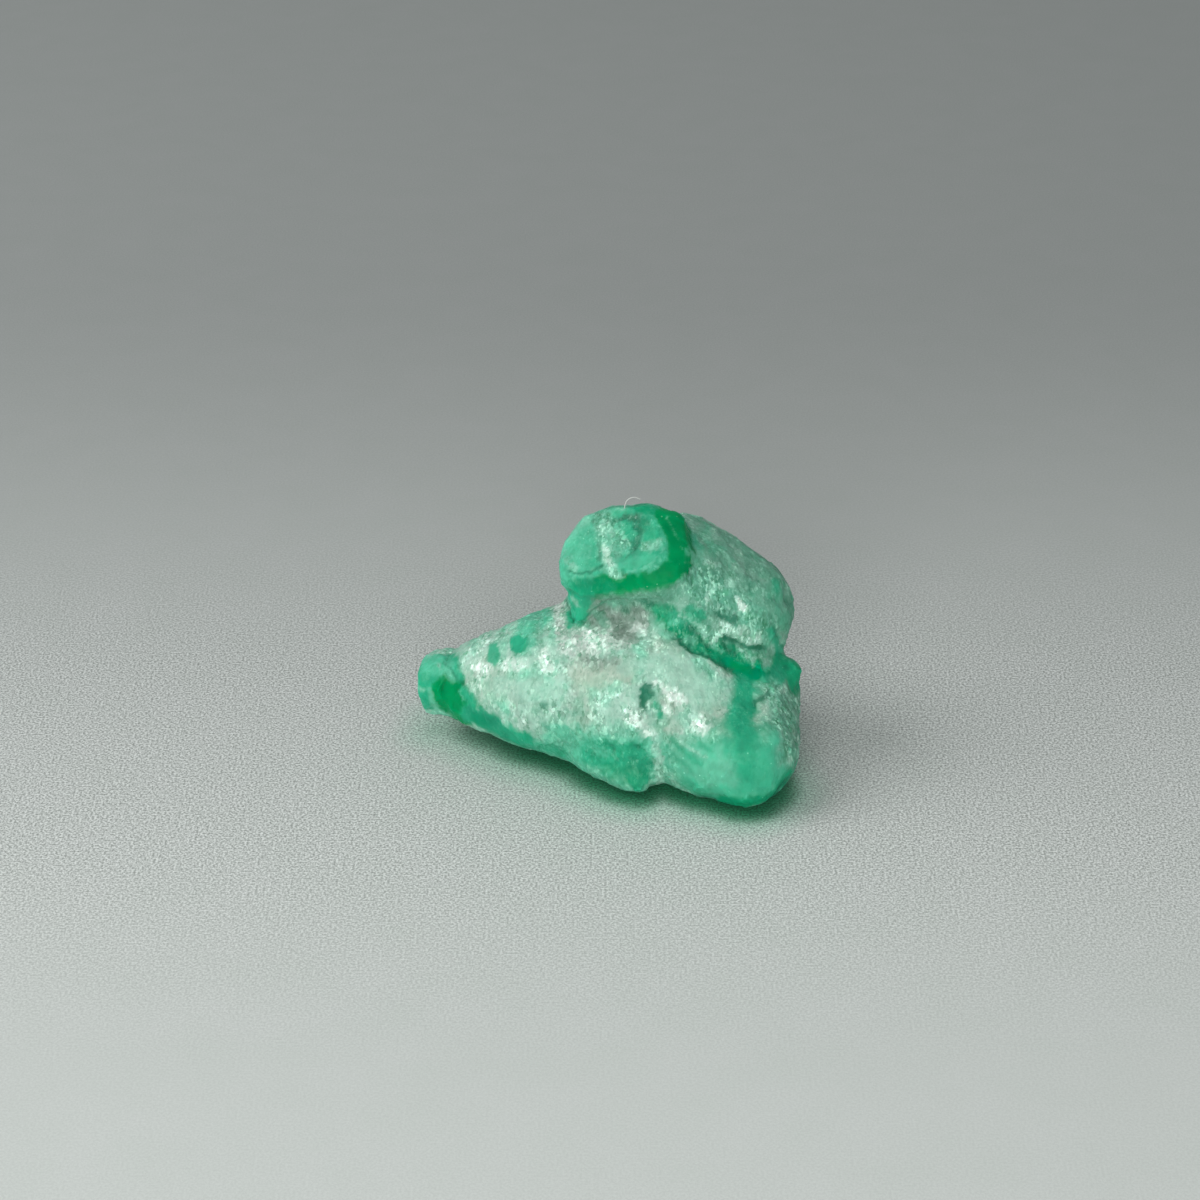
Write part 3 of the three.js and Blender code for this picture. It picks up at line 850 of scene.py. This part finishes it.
def emerald_material():
    recipe = Recipe("emerald")
    place = recipe.node("ShaderNodeTexCoord", take="Object")
    tint = recipe.node("ShaderNodeAttribute", {"attribute_name": "tint"}, take="Color")
    clear, sugary = recipe.mask("clear"), recipe.mask("sugary")
    glassy_part = 1.0 - sugary

    tall = grain_places(recipe, place)
    coarse, coarse_too, coarse_slope = recipe.grains(tall, COARSE_GRAINS)
    fine, fine_too, fine_slope = recipe.grains(tall, FINE_GRAINS)
    drift = recipe.between(recipe.noise(tall, 2.2, 3.0), 0.36, 0.62)
    haze = recipe.noise(place, 0.8, 4.0)

    # Flecks: some grains are lightened, partly white sugar and partly painted glints off their facets; others
    # are darkened, partly darker stone and partly painted shade between grains.
    fleck_and_glint = recipe.node(
        "ShaderNodeVectorMath", {"operation": "MULTIPLY_ADD"},
        {0: tint, 1: (1.25,) * 3, 2: (0.19, 0.22, 0.20)})
    white = (coarse**7.0) * 1.3 * drift + (fine**6.0) * (drift * 0.9 + 0.3)
    dark = (coarse_too**6.0) * 1.1 + (fine_too**6.0) * 1.0
    colour = recipe.blend((dark * (sugary * 0.9 + 0.1)).held(), tint, (0.40, 0.62, 0.52), "MULTIPLY")
    colour = recipe.blend((white * sugary).held(), colour, fleck_and_glint)
    colour = recipe.blend(
        (haze - 0.5).held() * 1.2 * glassy_part, colour, (0.70, 0.86, 0.76), "MULTIPLY")
    # Painted glints: small bright spots laid into the colour of the clear parts, in place of a specular
    # sparkle.
    glint_cells = recipe.node(
        "ShaderNodeTexVoronoi", None, {"Vector": place, "Scale": PAINTED_GLINTS_PER_MM / MM}, take="Distance")
    painted_glint = recipe.between(glint_cells, 0.11, 0.06) * drift
    colour = recipe.blend(painted_glint * glassy_part * 0.8, colour, fleck_and_glint)

    facets = (coarse_slope + fine_slope) * GRAIN_BUMP
    ripple = recipe.noise(place, 2.0, 3.0) * RIPPLE_HIGH
    bump = recipe.node(
        "ShaderNodeBump", None,
        {"Strength": 1.0, "Distance": 1.0, "Height": facets * sugary + ripple})
    frosty = recipe.node(
        "ShaderNodeBsdfPrincipled", {"subsurface_method": "RANDOM_WALK"},
        {"Base Color": colour, "Roughness": 0.55 + (coarse_too - 0.5) * 0.3, "IOR": IOR,
         "Specular IOR Level": 0.35, "Normal": bump, "Subsurface Weight": 0.3,
         "Subsurface Radius": (0.7, 1.0, 0.9), "Subsurface Scale": 0.08 * MM})
    glassy = recipe.node(
        "ShaderNodeBsdfPrincipled", {"subsurface_method": "RANDOM_WALK"},
        {"Base Color": colour, "Roughness": 0.30 + (drift - 0.5) * 0.2, "IOR": IOR,
         "Specular IOR Level": 0.03, "Normal": bump, "Subsurface Weight": 1.0,
         "Subsurface Radius": (0.4, 1.0, 0.95), "Subsurface Scale": 0.7 * MM})
    return recipe.finish(recipe.node("ShaderNodeMixShader", None, {0: clear, 1: frosty, 2: glassy}))


def lint_material():
    recipe = Recipe("lint")
    place = recipe.node("ShaderNodeTexCoord", take="Object")
    tone = tuple(bpy.context.scene.raw_emerald_lint.colour)
    colour = recipe.blend(recipe.noise(place, 6.0), tuple(0.8 * c for c in tone), tone)
    surface = recipe.node("ShaderNodeBsdfPrincipled", None, {"Base Color": colour, "Roughness": 0.6})
    return recipe.finish(surface)


# How the floor changes with depth, in metres behind the stone's middle. Its colour fades from the near one to
# the darker far one: painted shade standing for the light falling off behind the stone.
PAINTED_FALLOFF_FADES = (-0.025, 0.038)
GRAIN_FADES = (0.016, 0.002)
FLOOR_GRAIN = 14.0  # grains to the millimetre
FLOOR_ROUGH = 0.85


def floor_material():
    recipe = Recipe("floor")
    stage = bpy.context.scene.raw_emerald_stage
    place = recipe.node("ShaderNodeTexCoord", take="Object")
    depth = recipe.node("ShaderNodeSeparateXYZ", None, {0: place}, take="Y")
    # Painted shade: the floor darkens from the near colour to the far one with depth.
    back = recipe.between(depth, *PAINTED_FALLOFF_FADES)
    tone = recipe.blend(back, tuple(stage.near_floor_lit), tuple(stage.far_floor_shaded))
    apart = recipe.node("ShaderNodeMath", {"operation": "ABSOLUTE"}, {0: depth})
    close = recipe.between(apart, *GRAIN_FADES)
    grain = recipe.between(recipe.noise(place, FLOOR_GRAIN, 2.0, 0.7), 0.3, 0.7)
    grain = recipe.blend(grain, (0.50, 0.51, 0.50), (1.50, 1.49, 1.50))
    colour = recipe.blend((close + 0.12).held(), tone, grain, "MULTIPLY")
    mottle = recipe.noise(place, 0.5, 3.0, 0.6)
    mottle = recipe.blend(mottle, (0.92, 0.95, 0.92), (1.07, 1.05, 1.07))
    colour = recipe.blend(0.5, colour, mottle, "MULTIPLY")
    # Painted shadow and glow: near the stone's foot the floor is darkened and tinted green, standing for the
    # stone's contact shadow and the green light passed through it.
    glow = recipe.mask("glow")
    colour = recipe.blend(glow * 0.7, colour, (0.45, 0.92, 0.70), "MULTIPLY")
    colour = recipe.blend(recipe.between(glow, 0.55, 1.0), colour, (0.04, 0.33, 0.19), "MULTIPLY")
    surface = recipe.node(
        "ShaderNodeBsdfPrincipled", None, {"Base Color": colour, "Roughness": FLOOR_ROUGH})
    return recipe.finish(surface)


# ------------------------------------------------------------------ the stage


FLOOR_WIDE = 3.0
FLOOR_FINE = 24 * MM  # the width of the finely split middle of the floor
FLOOR_SPLITS = 160
# How far from the stone's foot the floor's painted green shadow and glow reach.
PAINTED_SHADOW_REACH = 1.7 * MM
FOOT_HIGH = 1.2 * MM  # the part of the stone, up from the floor, that throws the glow
VIEW_CENTRE = (0.4776, 0.466, 0.673)  # what the camera looks at, in parts of the stone's box
NEAR_CLIP, FAR_CLIP = 0.001, 10.0

# The soft lights: place, size and strength in watts.
SOFTBOXES = {
    "key": ((-0.14, 0.0, 0.14), 0.12, 0.175),
    "fill": ((-0.03, -0.18, 0.06), 0.14, 0.27),
}
ROOM_COLOUR = (0.72, 0.76, 0.76, 1)
ROOM_STRENGTH = 0.55


def aim(piece, target):
    piece.rotation_euler = (Vector(target) - piece.location).to_track_quat("-Z", "Y").to_euler()


class EMERALD_OT_stage(bpy.types.Operator):
    """Set the floor, the soft lights and the camera"""

    bl_idname = "emerald.stage"
    bl_label = "Stage"

    def execute(self, context):
        stage = context.scene.raw_emerald_stage
        deselect_all()
        floor = self.lay_floor()
        floor.data.materials.append(floor_material())

        target = spot(*VIEW_CENTRE)
        lift = stage.elevation
        bpy.ops.object.camera_add(
            location=target + Vector((0, -math.cos(lift), math.sin(lift))) * stage.distance)
        camera = context.active_object
        camera.name = "camera"
        camera.data.lens = stage.lens
        camera.data.clip_start = NEAR_CLIP
        camera.data.clip_end = FAR_CLIP
        aim(camera, target)
        context.scene.camera = camera

        for name, (place, size, watts) in SOFTBOXES.items():
            self.softbox(name, place, size, watts)
        world = bpy.data.worlds.new("room")
        context.scene.world = world
        world.use_nodes = True
        background = world.node_tree.nodes["Background"]
        background.inputs["Color"].default_value = ROOM_COLOUR
        background.inputs["Strength"].default_value = ROOM_STRENGTH
        context.scene.view_settings.view_transform = "Standard"
        return {"FINISHED"}

    def lay_floor(self):
        """A wide plane, finely split near the stone so that it can hold the painted green shadow and glow
        there.
        """
        bpy.ops.mesh.primitive_grid_add(
            x_subdivisions=FLOOR_SPLITS, y_subdivisions=FLOOR_SPLITS, size=FLOOR_FINE,
            location=(0, 0, LOW.z))
        floor = bpy.context.active_object
        floor.name = "floor"
        bpy.ops.object.mode_set(mode="EDIT")
        bpy.ops.mesh.select_all(action="SELECT")
        bpy.ops.mesh.region_to_loop()
        bpy.ops.mesh.extrude_region_move()
        bpy.ops.transform.resize(value=(FLOOR_WIDE / FLOOR_FINE, FLOOR_WIDE / FLOOR_FINE, 1))
        bpy.ops.object.mode_set(mode="OBJECT")
        stone = points_of(bpy.data.objects["emerald"])
        foot = stone[stone[:, 2] < FOOT_HIGH]
        tree = KDTree(len(foot))
        for index, place in enumerate(foot):
            tree.insert(place, index)
        tree.balance()
        away = np.array([tree.find((x, y, 0))[2] for x, y, _ in points_of(floor)])
        keep_mask(floor, "glow", ease(1 - away / PAINTED_SHADOW_REACH))
        return floor

    def softbox(self, name, place, size, watts):
        bpy.ops.object.light_add(type="AREA", location=place)
        lamp = bpy.context.active_object
        lamp.name = name
        lamp.data.shape = "DISK"
        lamp.data.size = size
        lamp.data.energy = watts
        aim(lamp, spot(0.5, 0.5, 0.4))


class EMERALD_PT_panel(bpy.types.Panel):
    """The settings, and a button for each step"""

    bl_idname = "EMERALD_PT_panel"
    bl_label = "Raw Emerald"
    bl_space_type = "VIEW_3D"
    bl_region_type = "UI"
    bl_category = "Emerald"

    def draw(self, context):
        scene = context.scene
        for group in (scene.raw_emerald, scene.raw_emerald_lint, scene.raw_emerald_stage):
            for name in group.__annotations__:
                self.layout.prop(group, name)
        for operator in (EMERALD_OT_stone, EMERALD_OT_lint, EMERALD_OT_stage):
            self.layout.operator(operator.bl_idname)


CLASSES = (
    StoneSettings, LintSettings, StageSettings, EMERALD_OT_stone, EMERALD_OT_lint, EMERALD_OT_stage,
    EMERALD_PT_panel,
)


def register():
    for made in CLASSES:
        bpy.utils.register_class(made)
    bpy.types.Scene.raw_emerald = PointerProperty(type=StoneSettings)
    bpy.types.Scene.raw_emerald_lint = PointerProperty(type=LintSettings)
    bpy.types.Scene.raw_emerald_stage = PointerProperty(type=StageSettings)


def unregister():
    del bpy.types.Scene.raw_emerald_stage
    del bpy.types.Scene.raw_emerald_lint
    del bpy.types.Scene.raw_emerald
    for made in reversed(CLASSES):
        bpy.utils.unregister_class(made)


def main():
    register()
    bpy.ops.emerald.stone()
    bpy.ops.emerald.lint()
    bpy.ops.emerald.stage()


if __name__ == "__main__":
    main()
